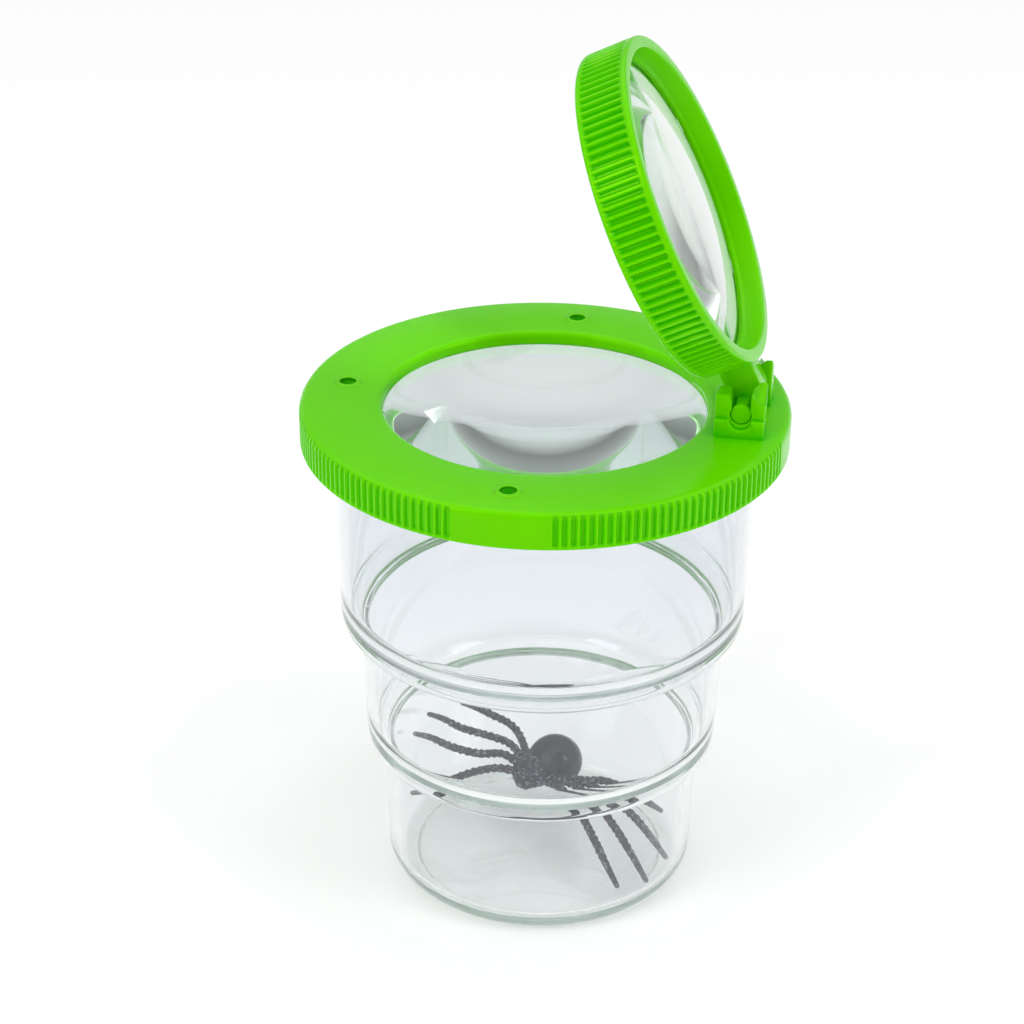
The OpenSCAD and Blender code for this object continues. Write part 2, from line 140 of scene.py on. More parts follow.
# Lid lens
LID_LENS_R = 25.0
LID_LENS_EDGE_T = 2.0
LID_LENS_TOP_SAG = 1.6
LID_LENS_LOW_SAG = 4.6
LID_LENS_MARGIN = 1.0
LENS_GAP = 0.04
LENS_BEVEL = 0.1
LENS_BEVEL_DROP = 0.01
LENS_STEPS = 160

# Flip ring and its lens
RING_R = 23.3
RING_H = 7.35
RING_DROP = 1.6
RING_PAST = 0.9
RING_WALL = 1.75
RING_DRAFT = 0.25
RING_GROOVE_D = 0.62
RING_GROOVE_PITCH = 3.15
RING_GROOVES = 92
RING_PLAIN_STEPS = 48
RING_GROOVE_BAND = 0.6
RING_FLANK_SHARES = (0.2, 0.75)
RING_GROOVE_RUN_OUT = 0.5
RING_ROW = 0.2
RING_TOP_ROUND = 0.4
RING_TOP_IN_ROUND = 0.3
RING_LOW_ROUND = 0.35
RING_LOW_IN_ROUND = 0.25
SHELF_ROUND = 0.15
RING_LIP_TOP = 0.7
RING_LIP_LOW = 0.5
SHELF_W = 1.0
SHELF_T = 1.6
RING_LENS_EDGE_T = 2.2
RING_LENS_TOP_SAG = 3.0
RING_LENS_LOW_SAG = 1.8
RING_LENS_MARGIN = 0.4
RING_LENS_GAP = 0.02
RING_BEAD_REACH = 0.2
RING_BEAD_H = 0.5

# Hinge
HINGE_X = 28.4
HINGE_UP = 3.1
HINGE_Z = LID_TOP_Z + HINGE_UP
OPEN_ANGLE = 64
ARM = HINGE_X + RING_PAST
PIN_R = 1.45
PIN_HEAD_W = 0.95
PIN_ROOT_ROUND = 0.12
PIN_END_ROUND = 0.22
PIN_STEPS = 48
HEAD_END_Y = 6.25
NECK_T = 1.65
NECK_H = 2.35
NECK_ROOT = 0.5
NECK_LAP = 0.2
NECK_EDGE = 0.2
BORE_R = 1.5
# How far the bore's lips close in over the pin
BORE_LIP = 0.2
LUG_HALF_W = 2.5
LUG_R = 2.5
LUG_UP = 3.3
LUG_SET = 1.2
LUG_LAP = 0.7
LUG_TOP_SET = 0.6
LUG_LOW_SET = 0.8
LUG_EDGE = 0.3
# The lug's round end runs over these degrees, a point every LUG_ARC_STEP of them
LUG_ARC = (-90, 72)
LUG_ARC_STEP = 9
CLIP_IN_Y = 3.6
CLIP_SINK = 0.4
CLIP_LAP = 0.3
CLIP_EDGE = 0.2
CHEEK_W = 2.8
END_WALL_T = 1.1
END_WALL_DROP = 0.5
END_WALL_EDGE = 0.25
INNER_CHEEK_T = 2.1
OUTER_CHEEK_T = 1.85
INNER_CHEEK_UP = 3.05
OUTER_CHEEK_UP = 4.1
CHEEK_SHOULDER = 0.2
CHEEK_FALL = 2.3

# Spider, in shares of the room inside the jar's foot
ROOM_R = 21.4
ROOM_H = FOOT_TIER_H - FLOOR_T
ABDOMEN_R = 4.3
CHEST_R = 2.6
HEAD_R = CHEST_R * 3 / 4
ABDOMEN_FLAT_SHARE = 0.97
# How high the lumps of the three balls are, and how far apart. Their rows start at
# different phases and are stretched a little, so that they don't line up.
ABDOMEN_LUMPS = (0.03, 3.1)
CHEST_LUMPS = (0.22, 1.9)
HEAD_LUMPS = (0.2, 1.4)
LUMP_PHASES = (0.7, 1.9, 0.3)
LUMP_STRETCH = (1, 1.1, 0.9)
# A leg's radius at the body, what it loses by each stretch of its length, and its round tip
LEG_R = 0.84
LEG_ROOT_LOSS = 0.18
LEG_ROOT_SHARES = (0, 0.25)
LEG_FOOT_LOSS = 0.26
LEG_FOOT_SHARES = (0.7, 1)
LEG_TIP = 0.5
LEG_TIP_END = 0.02
LEG_SIDES = 14
# Rings of points between two of the leg's places below
LEG_PARTS = 32
# Strands of the plaited skin: their depth as a share of the leg's radius, where along
# the leg they begin and end, and how far apart they are
STRAND_SHARE = 0.2
STRAND_ROOT_SHARES = (0, 0.1)
STRAND_FOOT_SHARES = (0.8, 0.9)
STRAND_PITCH = 1.1
CROSS_STRAND_PITCH = 0.9
CROSS_STRAND_WEIGHT = 0.4
ABDOMEN_SHARE = (0.05, 0.37, 0.49)
CHEST_SHARE = (-0.078, 0.23, 0.475)
HEAD_SHARE = (-0.13, 0.165, 0.455)
LEG_SHARES = (
    ((-0.12, 0.3, 0.47), (-0.236, 0.54, 0.555), (-0.334, 0.615, 0.62),
     (-0.455, 0.606, 0.69), (-0.58, 0.622, 0.735), (-0.72, 0.65, 0.755)),
    ((-0.13, 0.27, 0.47), (-0.276, 0.405, 0.565), (-0.424, 0.395, 0.635),
     (-0.642, 0.362, 0.71), (-0.8, 0.385, 0.765), (-0.925, 0.395, 0.785)),
    ((-0.14, 0.24, 0.46), (-0.3, 0.24, 0.59), (-0.466, 0.13, 0.653),
     (-0.66, 0.09, 0.715), (-0.84, 0.14, 0.745), (-0.98, 0.17, 0.74)),
    ((-0.14, 0.21, 0.45), (-0.323, 0.165, 0.51), (-0.473, 0.075, 0.525),
     (-0.614, 0.035, 0.47), (-0.789, -0.01, 0.36), (-0.968, -0.012, 0.285)),
    ((-0.05, 0.19, 0.44), (0.14, 0.06, 0.46), (0.294, -0.09, 0.38),
     (0.44, -0.29, 0.265), (0.545, -0.435, 0.155), (0.65, -0.565, 0.038)),
    ((-0.03, 0.2, 0.45), (0.23, 0.07, 0.5), (0.416, -0.07, 0.45),
     (0.585, -0.208, 0.316), (0.732, -0.36, 0.165), (0.832, -0.475, 0.045)),
    ((-0.02, 0.23, 0.455), (0.28, 0.1, 0.52), (0.516, -0.01, 0.47),
     (0.714, -0.11, 0.357), (0.855, -0.185, 0.205), (0.943, -0.2, 0.065)),
    ((-0.01, 0.26, 0.46), (0.275, 0.12, 0.515), (0.44, 0.11, 0.535),
     (0.584, 0.14, 0.47), (0.738, 0.262, 0.27), (0.87, 0.405, 0.065)),
)

# Patterns of the materials
FLOW_MARK_W = 9
FLOW_MARK_D = 0.2
GRAIN_W = 0.35
GRAIN_D = 0.09
GRAIN_BAND = 0.12
# No face of the ring lies at this height, so none of it gets the lid's grain
NO_GRAIN_Z = 1000
LID_SCATTER = 0.5
RING_SCATTER = 0.3
# How far the painted shade in the green plastic's corners reaches
PAINTED_SHADE_REACH = 3
# Heights, as shares of the jar's, over which the clear tint turns from the clearer foot, which is
# painted light, to the smokier mouth
CLEAR_BELOW_SHARE = 0.3
SMOKY_ABOVE_SHARE = 0.8
MOULD_WAVE_W = 12
MOULD_WAVE_D = 0.3
PIMPLE_W = 0.5
PIMPLE_D = 0.08
DULL_PATCH_W = 3
SPECK_EDGE = 0.5

# Studio and camera, in metres, watts and degrees
FLOOR_HALF = 3
FLOOR_DROP = 0.0001
LIGHT_TARGET = (0, 0, 0.07)
# Name, place, side and power of each soft box
LIGHTS = (
    ("soft box left", (-0.55, -0.65, 0.6), 0.4, 2.4),
    ("soft box right", (0.75, -0.25, 0.5), 0.35, 1.8),
)
# The room is bright overhead and at the horizon and darker between, so the lid's top
# keeps its deep green and clear edges draw grey lines. Each pair is a height, from the
# horizon at 0 to the zenith at 1, and a share of the full brightness. The two ends of
# the range come first.
SKY_SHARES = ((0, 0.4), (1, 1.0), (0.22, 0.19), (0.5, 0.11), (0.8, 0.55))
SKY_POWER = 2.0
# Light passes the jar's and the lenses' many clear faces
LIGHT_BOUNCES = 32
CAMERA_AZIMUTH = 10.226
CAMERA_ELEVATION = 28.194
CAMERA_ROLL = 0.441
CAMERA_DISTANCE = 0.366403
CAMERA_TARGET_RIGHT = -0.004608
CAMERA_TARGET_UP = 0.058866
CAMERA_LENS = 88.34
CAMERA_SENSOR = 36


# Colours


def linear(hex_colour):
    """An sRGB hex colour as linear red, green, blue and alpha."""
    parts = [int(hex_colour[i:i + 2], 16) / 255 for i in (1, 3, 5)]
    return (*[c / 12.92 if c <= 0.04045 else ((c + 0.055) / 1.055) ** 2.4 for c in parts], 1)


# Materials


def add_node(material, kind, settings=None, sockets=None, links=None):
    """Adds a node to a material, sets its settings and sockets, and links its inputs."""
    node = material.node_tree.nodes.new(kind)
    for key, value in (settings or {}).items():
        setattr(node, key, value)
    for key, value in (sockets or {}).items():
        node.inputs[key].default_value = value
    for key, source in (links or {}).items():
        material.node_tree.links.new(source, node.inputs[key])
    return node


def new_material(name):
    material = bpy.data.materials.new(name)
    material.use_nodes = True
    material.node_tree.nodes.clear()
    return material


def close_material(material, shader, volume=None):
    out = add_node(material, "ShaderNodeOutputMaterial", links={"Surface": shader.outputs[0]})
    if volume:
        material.node_tree.links.new(volume.outputs[0], out.inputs["Volume"])
    return material


def green_plastic(name, grain_z, scatter):
    """Injection-moulded polypropylene, lime green: glossy and a little translucent, with faint moulding
    ripples. Its corners and crevices are painted a deep pure green as painted shade.
    On the flat top at grain_z, in millimetres, the mould's fine spark-eroded grain shows.
    Light spreads about scatter millimetres in it, so thin walls glow."""
    m = new_material(name)
    place = add_node(m, "ShaderNodeTexCoord").outputs["Object"]
    # Wide flow marks, only just seen in the colour and the gloss
    flow = add_node(m, "ShaderNodeTexNoise", sockets={"Scale": 1 / (FLOW_MARK_W * MM), "Detail": 3.0},
                    links={"Vector": place})
    colour = add_node(m, "ShaderNodeMixRGB",
                      sockets={"Color1": linear("#5FCD00"), "Color2": linear("#68D300")},
                      links={"Fac": flow.outputs[0]})
    gloss = add_node(m, "ShaderNodeMapRange", sockets={"To Min": 0.17, "To Max": 0.27},
                     links={"Value": flow.outputs[0]})
    # Grain on the lid's top, drawn a little coarser than the real one
    grain = add_node(m, "ShaderNodeTexNoise", sockets={"Scale": 1 / (GRAIN_W * MM), "Detail": 1.0},
                     links={"Vector": place})
    parts = add_node(m, "ShaderNodeSeparateXYZ", links={"Vector": place})
    flat = add_node(m, "ShaderNodeMath", settings={"operation": "COMPARE"},
                    sockets={1: grain_z * MM, 2: GRAIN_BAND * MM}, links={0: parts.outputs["Z"]})
    top = add_node(m, "ShaderNodeMath", settings={"operation": "MULTIPLY"}, sockets={1: 0.55},
                   links={0: flat.outputs[0]})
    ripple = add_node(m, "ShaderNodeBump", sockets={"Strength": 0.05, "Distance": FLOW_MARK_D * MM},
                      links={"Height": flow.outputs[0]})
    bump = add_node(m, "ShaderNodeBump", sockets={"Distance": GRAIN_D * MM},
                    links={"Height": grain.outputs[0], "Strength": top.outputs[0],
                           "Normal": ripple.outputs[0]})
    # Painted shade: where local occlusion finds a corner, the colour is mixed towards a deep pure green,
    # standing in for light that bounces from green to green there and loses its red
    painted_shade_occlusion = add_node(m, "ShaderNodeAmbientOcclusion",
                      settings={"samples": 6, "only_local": True},
                      sockets={"Distance": PAINTED_SHADE_REACH * MM})
    open_share = add_node(m, "ShaderNodeMapRange", sockets={"From Min": 0.25, "From Max": 0.9},
                          links={"Value": painted_shade_occlusion.outputs["AO"]})
    # The base colour carries the painted corner shade, #0CBE00 where a corner is deepest
    base = add_node(m, "ShaderNodeMixRGB", sockets={"Color1": linear("#0CBE00")},
                    links={"Fac": open_share.outputs[0], "Color2": colour.outputs[0]})
    shader = add_node(m, "ShaderNodeBsdfPrincipled",
                      sockets={"IOR": 1.49, "Specular IOR Level": 0.5,
                               "Specular Tint": linear("#B8FF30"), "Subsurface Weight": 0.35,
                               "Subsurface Scale": scatter * MM,
                               "Subsurface Radius": (0.25, 1.0, 0.05)},
                      links={"Base Color": base.outputs[0], "Roughness": gloss.outputs[0],
                             "Normal": bump.outputs[0]})
    return close_material(m, shader)


def clear_plastic(name, low_shade, high_shade, tint, ripple_strength):
    """Injection-moulded polystyrene, clear and polished: refracts strongly, with the faint waviness of a
    moulding. Its tint runs from a clear low_shade at the jar's foot to a slightly smoky high_shade at
    the jar's mouth; the clearer foot is painted light that offsets the shade falling inside the jar's
    foot. It is grey-green where it is deep."""
    m = new_material(name)
    place = add_node(m, "ShaderNodeTexCoord").outputs["Object"]
    wave = add_node(m, "ShaderNodeTexNoise", sockets={"Scale": 1 / (MOULD_WAVE_W * MM), "Detail": 1.0},
                    links={"Vector": place})
    bump = add_node(m, "ShaderNodeBump",
                    sockets={"Strength": ripple_strength, "Distance": MOULD_WAVE_D * MM},
                    links={"Height": wave.outputs[0]})
    gloss = add_node(m, "ShaderNodeMapRange", sockets={"To Min": 0.0, "To Max": 0.03},
                     links={"Value": wave.outputs[0]})
    parts = add_node(m, "ShaderNodeSeparateXYZ", links={"Vector": place})
    # Painted light: the tint is clearer low down, brightening the foot where shade falls inside the jar,
    # and smokier towards the mouth
    height = add_node(m, "ShaderNodeMapRange",
                      sockets={"From Min": CLEAR_BELOW_SHARE * JAR_H * MM,
                               "From Max": SMOKY_ABOVE_SHARE * JAR_H * MM},
                      links={"Value": parts.outputs["Z"]})
    shade = add_node(m, "ShaderNodeMixRGB",
                     sockets={"Color1": linear(low_shade), "Color2": linear(high_shade)},
                     links={"Fac": height.outputs[0]})
    shader = add_node(m, "ShaderNodeBsdfPrincipled",
                      sockets={"IOR": 1.57, "Specular IOR Level": 0.12,
                               "Transmission Weight": 1.0},
                      links={"Base Color": shade.outputs[0], "Roughness": gloss.outputs[0],
                             "Normal": bump.outputs[0]})
    depth = add_node(m, "ShaderNodeVolumeAbsorption",
                     sockets={"Color": linear(tint), "Density": 20.0})
    return close_material(m, shader, depth)


def black_rubber():
    """Soft PVC, cast blue-black: a sheen on the smooth abdomen, a fine skin that scatters the light, and
    grey specks on the legs and the chest, partly dust and partly painted glints."""
    m = new_material("black soft pvc")
    place = add_node(m, "ShaderNodeTexCoord").outputs["Object"]
    skin = add_node(m, "ShaderNodeTexNoise", sockets={"Scale": 1 / (PIMPLE_W * MM), "Detail": 3.0},
                    links={"Vector": place})
    patch = add_node(m, "ShaderNodeTexNoise", sockets={"Scale": 1 / (DULL_PATCH_W * MM), "Detail": 2.0},
                     links={"Vector": place})
    colour = add_node(m, "ShaderNodeMixRGB",
                      sockets={"Color1": linear("#0A0B18"), "Color2": linear("#1E2034")},
                      links={"Fac": patch.outputs[0]})
    # The specks keep off the abdomen, which is a smooth ball
    away = add_node(m, "ShaderNodeVectorMath", settings={"operation": "DISTANCE"},
                    sockets={1: in_foot(ABDOMEN_SHARE) * MM}, links={0: place})
    legs = add_node(m, "ShaderNodeMapRange",
                    sockets={"From Min": ABDOMEN_R * MM, "From Max": (ABDOMEN_R + SPECK_EDGE) * MM},
                    links={"Value": away.outputs["Value"]})
    # Grey specks painted into the colour: partly dust, partly painted glints of light on the knobbly
    # legs and chest
    specks = add_node(m, "ShaderNodeMapRange",
                      sockets={"From Min": 0.53, "From Max": 0.64, "To Max": 0.65},
                      links={"Value": skin.outputs[0]})
    dust_and_glint_share = add_node(m, "ShaderNodeMath", settings={"operation": "MULTIPLY"},
                    links={0: legs.outputs[0], 1: specks.outputs[0]})
    colour_with_dust_and_glints = add_node(m, "ShaderNodeMixRGB", sockets={"Color2": linear("#868A9C")},
                    links={"Fac": dust_and_glint_share.outputs[0], "Color1": colour.outputs[0]})
    gloss = add_node(m, "ShaderNodeMapRange", sockets={"To Min": 0.15, "To Max": 0.3},
                     links={"Value": patch.outputs[0]})
    bump = add_node(m, "ShaderNodeBump", sockets={"Strength": 0.25, "Distance": PIMPLE_D * MM},
                    links={"Height": skin.outputs[0]})
    shader = add_node(m, "ShaderNodeBsdfPrincipled",
                      sockets={"IOR": 1.5, "Specular IOR Level": 0.5},
                      links={"Base Color": colour_with_dust_and_glints.outputs[0], "Roughness": gloss.outputs[0],
                             "Normal": bump.outputs[0]})
    return close_material(m, shader)


# Shapes


def rounded(corners, parts):
    """A line through corners given as (x, z, round): each becomes an arc of that radius."""
    line = []
    for i, (x, z, radius) in enumerate(corners):
        here = Vector((x, z))
        before = Vector(corners[i - 1][:2]) - here
        after = Vector(corners[(i + 1) % len(corners)][:2]) - here
        if radius <= 0 or before.length == 0 or after.length == 0:
            line.append(here)
            continue
        half = before.angle(after) / 2
        reach = radius / math.tan(half)
        start = here + before.normalized() * reach
        end = here + after.normalized() * reach
        centre = here + (before.normalized() + after.normalized()).normalized() * radius / math.sin(half)
        first, last = start - centre, end - centre
        turn = first.angle_signed(last)
        for k in range(parts + 1):
            a = -turn * k / parts
            line.append(centre + Matrix.Rotation(a, 2) @ first)
    return line


def turned(points, steps, closed):
    """A bmesh turned round the z axis from a line of (radius, height) points.
    One sector is spun and then copied round, which is much quicker than a full spin."""
    bm = bmesh.new()
    verts = [bm.verts.new((p[0], 0, p[1])) for p in points]
    pairs = list(zip(verts, verts[1:])) + ([(verts[-1], verts[0])] if closed else [])
    edges = [bm.edges.new(pair) for pair in pairs]
    bmesh.ops.spin(bm, geom=verts + edges, cent=(0, 0, 0), axis=(0, 0, 1),
                   angle=math.tau / SECTORS, steps=steps // SECTORS, use_duplicate=False)
    sector = bm.verts[:] + bm.edges[:] + bm.faces[:]
    for k in range(1, SECTORS):
        copy = bmesh.ops.duplicate(bm, geom=sector)["geom"]
        bmesh.ops.rotate(bm, cent=(0, 0, 0), matrix=Matrix.Rotation(math.tau * k / SECTORS, 3, "Z"),
                         verts=[g for g in copy if isinstance(g, bmesh.types.BMVert)])
    bmesh.ops.remove_doubles(bm, verts=bm.verts, dist=WELD_REACH)
    bmesh.ops.recalc_face_normals(bm, faces=bm.faces)
    return bm


def dome(radius, rise):
    """Points from the axis to radius along a ball's cap that rises by rise over its edge."""
    ball = (radius * radius + rise * rise) / (2 * rise)
    edge = math.asin(radius / ball)
    angles = [edge * k / DOME_PARTS for k in range(DOME_PARTS + 1)]
    return [(ball * math.sin(a), ball * math.cos(a) - ball + rise) for a in angles]


def smooth_step(low, high, value):
    """Rises smoothly from 0 at low to 1 at high."""
    share = min(max((value - low) / (high - low), 0), 1)
    return share * share * (3 - 2 * share)


def cut_grooves(bm, steps, angle_of, depth_of):
    """Moves each spun vertex to its own angle, and inwards by the groove's depth there."""
    for v in bm.verts:
        radius = math.hypot(v.co.x, v.co.y)
        if radius < AXIS_REACH:
            continue
        turn = math.atan2(v.co.y, v.co.x) % math.tau
        angle, phase = angle_of(round(turn / math.tau * steps) % steps)
        radius -= depth_of(radius, v.co.z, phase)
        v.co.x = radius * math.cos(angle)
        v.co.y = radius * math.sin(angle)


def solid(outline, y_low, y_high, edge):
    """A prism along y from an outline of (x, z) points, with all its sharp edges bevelled."""
    bm = bmesh.new()
    face = bm.faces.new([bm.verts.new((x, y_low, z)) for x, z in outline])
    grown = bmesh.ops.extrude_face_region(bm, geom=[face])["geom"]
    bmesh.ops.translate(bm, vec=(0, y_high - y_low, 0),
                        verts=[g for g in grown if isinstance(g, bmesh.types.BMVert)])
    bmesh.ops.recalc_face_normals(bm, faces=bm.faces)
    sharp = [e for e in bm.edges if e.calc_face_angle(0) > math.radians(SHARP_ANGLE)]
    bmesh.ops.bevel(bm, geom=sharp, offset=edge, segments=3, profile=0.5, material=-1,
                    affect="EDGES", clamp_overlap=True)
    return bm


def join(bm, other, matrix=None):
    """Adds another bmesh's faces to bm, placed by a matrix."""
    if matrix is not None:
        bmesh.ops.transform(other, matrix=matrix, verts=other.verts)
        if matrix.determinant() < 0:
            bmesh.ops.reverse_faces(other, faces=other.faces)
    mesh = bpy.data.meshes.new("part")
    other.to_mesh(mesh)
    other.free()
    bm.from_mesh(mesh)
    bpy.data.meshes.remove(mesh)


def to_metres(bm, sharp_angle=SHARP_ANGLE):
    """Scales a bmesh from millimetres and shades it smooth but for its sharp edges."""
    bmesh.ops.scale(bm, vec=(MM, MM, MM), verts=bm.verts)
    for face in bm.faces:
        face.smooth = True
    for edge in bm.edges:
        edge.smooth = edge.calc_face_angle(0) < math.radians(sharp_angle)


def finish_piece(name, bm, body, node, material, sharp_angle=SHARP_ANGLE):
    """Turns a bmesh in millimetres into a smooth-shaded piece that stands for a CAD node."""
    to_metres(bm, sharp_angle)
    mesh = bpy.data.meshes.new(name)
    bm.to_mesh(mesh)
    bm.free()
    piece = bpy.data.objects.new(name, mesh)
    bpy.context.scene.collection.objects.link(piece)
    mesh.materials.append(material)
    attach(piece, body)
    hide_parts(node)
    return piece


# Jar


def ledge(wall_r, edge_r, z, fillet):
    """Corners of a ledge inside the jar: its wide fillet, and its edge over the tier below."""
    return [(wall_r, z + (wall_r - edge_r) * LEDGE_SLOPE, fillet), (edge_r, z, JAR_EDGE_ROUND)]


def make_jar(material):
    outer = [
        (0, BASE_RECESS_D, 0),
        (BASE_RECESS_R - BASE_RECESS_D, BASE_RECESS_D, JAR_EDGE_ROUND),
        (BASE_RECESS_R, 0, JAR_EDGE_ROUND),
        (FOOT_R, 0, BASE_ROUND),
        (FOOT_R + FOOT_FLARE, STEP_1, JAR_EDGE_ROUND),
        (MIDDLE_R, STEP_1, MIDDLE_R - FOOT_R - FOOT_FLARE - LEDGE_FLAT),
        (MIDDLE_R + MIDDLE_FLARE, STEP_2, JAR_EDGE_ROUND),
        (MOUTH_R, STEP_2, MOUTH_R - MIDDLE_R - MIDDLE_FLARE - LEDGE_FLAT),
        (MOUTH_R + MOUTH_FLARE, STEP_3, JAR_EDGE_ROUND),
        (RIM_R, STEP_3, RIM_R - MOUTH_R - MOUTH_FLARE - LEDGE_FLAT),
        (RIM_R, JAR_H, JAR_EDGE_ROUND),
    ]
    inner = [
        (RIM_R - JAR_WALL, JAR_H, JAR_EDGE_ROUND),
        (RIM_R - JAR_WALL, STEP_3 + JAR_WALL, RIM_FILLET),
        (MOUTH_R + MOUTH_FLARE - JAR_WALL, STEP_3 + JAR_WALL, RIM_LEDGE_ROUND),
        *ledge(MOUTH_R - JAR_WALL, MIDDLE_R + MIDDLE_FLARE - JAR_WALL, STEP_2 + JAR_WALL, MOUTH_FILLET),
        *ledge(MIDDLE_R - JAR_WALL, FOOT_R + FOOT_FLARE - JAR_WALL, STEP_1 + JAR_WALL, MIDDLE_FILLET),
        (FOOT_R - JAR_WALL, FLOOR_T, FLOOR_ROUND),
        (0, FLOOR_T, 0),
    ]
    bm = turned(rounded(outer + inner, parts=8), JAR_STEPS, closed=False)
    finish_piece("clear_jar", bm, "jar", "jar", material)


# Lid


def lid_angle(step):
    """Angle of a spun step of the lid, and where it lies between two groove crests."""
    group = LID_GROUP_GROOVES * GROOVE_STEPS
    quarter, k = divmod(step, group + LID_PLAIN_STEPS)
    plain = 90 - LID_GROUP_GROOVES * LID_GROOVE_PITCH
    start = 90 * quarter + plain / 2
    if k < group:
        return math.radians(start + k / GROOVE_STEPS * LID_GROOVE_PITCH), k % GROOVE_STEPS / GROOVE_STEPS
    return math.radians(start + 90 - plain + (k - group) / LID_PLAIN_STEPS * plain), 0


def lid_groove_depth(radius, z, phase):
    """How deep the lid's side is cut at a height and a phase between two crests."""
    if radius < LID_R - LID_GROOVE_BAND:
        return 0
    wave = smooth_step(*LID_FLANK_SHARES, 0.5 - 0.5 * math.cos(math.tau * phase))
    low = LID_TOP_Z - SKIRT_H
    foot = smooth_step(low + LID_GROOVE_FOOT[0], low + LID_GROOVE_FOOT[1], z)
    head = 1 - smooth_step(LID_TOP_Z - LID_GROOVE_HEAD[0], LID_TOP_Z - LID_GROOVE_HEAD[1], z)
    return LID_GROOVE_D * wave * (foot * head)


def make_lid_shell():
    """The lid's top, skirt and lens collar, turned and grooved."""
    low = LID_TOP_Z - SKIRT_H
    bead_z = LID_Z - LID_LENS_EDGE_T
    corners = [
        (OPENING_R, LID_Z, OPENING_LOW_ROUND),
        (OPENING_R, LID_TOP_Z, OPENING_ROUND),
        (LID_R, LID_TOP_Z, LID_EDGE_ROUND),
        *[(LID_R, LID_TOP_Z - row, 0) for row in LID_ROWS_DOWN],
        *[(LID_R, low + row, 0) for row in LID_ROWS_UP],
        (LID_R, low, SKIRT_EDGE_ROUND),
        (SKIRT_IN_R, low, LID_INNER_ROUND),
        (SKIRT_IN_R, LID_Z, LID_INNER_ROUND),
        (COLLAR_OUT_R, LID_Z, LID_INNER_ROUND),
        (COLLAR_OUT_R, LID_Z - COLLAR_H, LID_INNER_ROUND),
        (COLLAR_IN_R, LID_Z - COLLAR_H, COLLAR_EDGE_ROUND),
        (COLLAR_IN_R - BEAD_REACH, bead_z - BEAD_H, BEAD_ROUND),
        (COLLAR_IN_R - BEAD_REACH, bead_z - LENS_GAP, BEAD_BACK_ROUND),
        (COLLAR_IN_R, bead_z - LENS_GAP, 0),
        (COLLAR_IN_R, LID_Z, 0),
    ]
    steps = 4 * (LID_GROUP_GROOVES * GROOVE_STEPS + LID_PLAIN_STEPS)
    bm = turned(rounded(corners, parts=4), steps, closed=True)
    cut_grooves(bm, steps, lid_angle, lid_groove_depth)
    return bm


def drill_vents(piece):
    """Drills the air holes through the lid's top, with a boolean that is applied at once."""
    bm = bmesh.new()
    for angle in VENT_ANGLES:
        a = math.radians(angle)
        place = Matrix.Translation((VENT_AT_R * MM * math.cos(a), VENT_AT_R * MM * math.sin(a),
                                    (LID_Z + LID_TOP_T / 2) * MM))
        bmesh.ops.create_cone(bm, cap_ends=True, segments=VENT_STEPS, radius1=VENT_R * MM,
                              radius2=VENT_R * MM, depth=3 * LID_TOP_T * MM, matrix=place)
    mesh = bpy.data.meshes.new("drills")
    bm.to_mesh(mesh)
    bm.free()
    drills = bpy.data.objects.new("drills", mesh)
    bpy.context.scene.collection.objects.link(drills)
    drill = piece.modifiers.new("air holes", "BOOLEAN")
    drill.operation = "DIFFERENCE"
    drill.solver = "EXACT"
    drill.object = drills
    bpy.context.view_layer.update()
    drilled = bpy.data.meshes.new_from_object(piece.evaluated_get(bpy.context.evaluated_depsgraph_get()))
    piece.modifiers.clear()
    bpy.data.objects.remove(drills)
    return drilled


def vent_rim():
    """The raised rim round an air hole, with the lid's top at height 0."""
    foot_r = VENT_RIM_R + VENT_RIM_SPREAD
    corners = [
        (VENT_R, -VENT_RIM_SINK, 0),
        (VENT_R, VENT_RIM_H, VENT_RIM_IN_ROUND),
        (VENT_RIM_R - VENT_RIM_FALL, VENT_RIM_H, VENT_RIM_TOP_ROUND),
        (foot_r, -VENT_RIM_SPREAD, 0),
        (foot_r, -VENT_RIM_SINK, 0),
    ]
    return turned(rounded(corners, parts=3), VENT_STEPS, closed=True)


def clip_outline():
    """Cheeks of a hinge clip round its open bore, seen along the hinge axis, which is at (0, 0)."""
    low = -HINGE_Z + LID_TOP_Z - CLIP_SINK
    lip = BORE_R - BORE_LIP
    throat = math.asin(math.sqrt(BORE_R ** 2 - lip ** 2) / BORE_R)
    parts = 20
    bore = [(BORE_R * math.cos(a), BORE_R * math.sin(a))
            for a in [throat - (math.pi + 2 * throat) * k / parts for k in range(parts + 1)]]
    return (
        [(-BORE_R - INNER_CHEEK_T, low), (BORE_R + OUTER_CHEEK_T, low),
         (BORE_R + OUTER_CHEEK_T, OUTER_CHEEK_UP), (BORE_R + OUTER_CHEEK_T / 2, OUTER_CHEEK_UP),
         (lip, INNER_CHEEK_UP - CHEEK_SHOULDER)]
        + bore
        + [(-lip, INNER_CHEEK_UP / 2), (-BORE_R - CHEEK_SHOULDER, INNER_CHEEK_UP),
           (-BORE_R - INNER_CHEEK_T, INNER_CHEEK_UP)]
    )


def end_wall_outline():
    """Low wall at a clip's end, with the round notch in its top."""
    low = -HINGE_Z + LID_TOP_Z - CLIP_SINK
    top = -END_WALL_DROP
    parts = 16
    notch = [(BORE_R * math.cos(a), top + BORE_R * math.sin(a))
             for a in [-math.pi * k / parts for k in range(parts + 1)]]
    return ([(-BORE_R - INNER_CHEEK_T, low), (BORE_R + OUTER_CHEEK_T, low),
             (BORE_R + OUTER_CHEEK_T, top), (BORE_R + CHEEK_SHOULDER, top)]
            + notch
            + [(-BORE_R - CHEEK_SHOULDER, top), (-BORE_R - INNER_CHEEK_T, top)])


